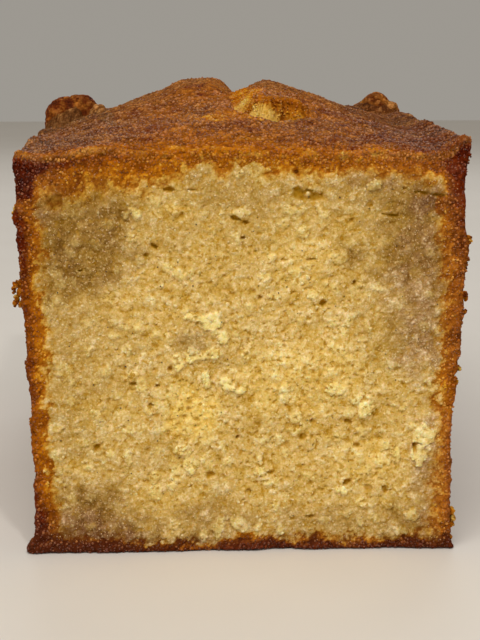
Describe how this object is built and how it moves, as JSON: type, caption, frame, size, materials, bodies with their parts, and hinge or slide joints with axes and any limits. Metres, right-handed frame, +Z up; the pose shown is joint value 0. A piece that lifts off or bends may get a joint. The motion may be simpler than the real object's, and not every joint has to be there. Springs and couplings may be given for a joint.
{
  "type": "pound cake loaf",
  "caption": "Golden pound cake loaf with one end cut to show its crumb, a split domed top and browned crust; a prop food that rests on its flat base.",
  "frame": {"origin": "under the middle of the loaf, on the plane it stands on", "axes": "+Z up, +Y along the loaf from the cut face to the baked end, +X to the right as seen from the cut face"},
  "size_m": [0.1053, 0.1605, 0.1059],
  "materials": {
    "crust": "baked crust, reddish brown, fine sugary grain with small glints",
    "crumb": "moist yellow cake crumb, granular and porous, with fine vanilla specks"
  },
  "bodies": {
    "root": {"loaf": "crust"}
  },
  "joints": []
}
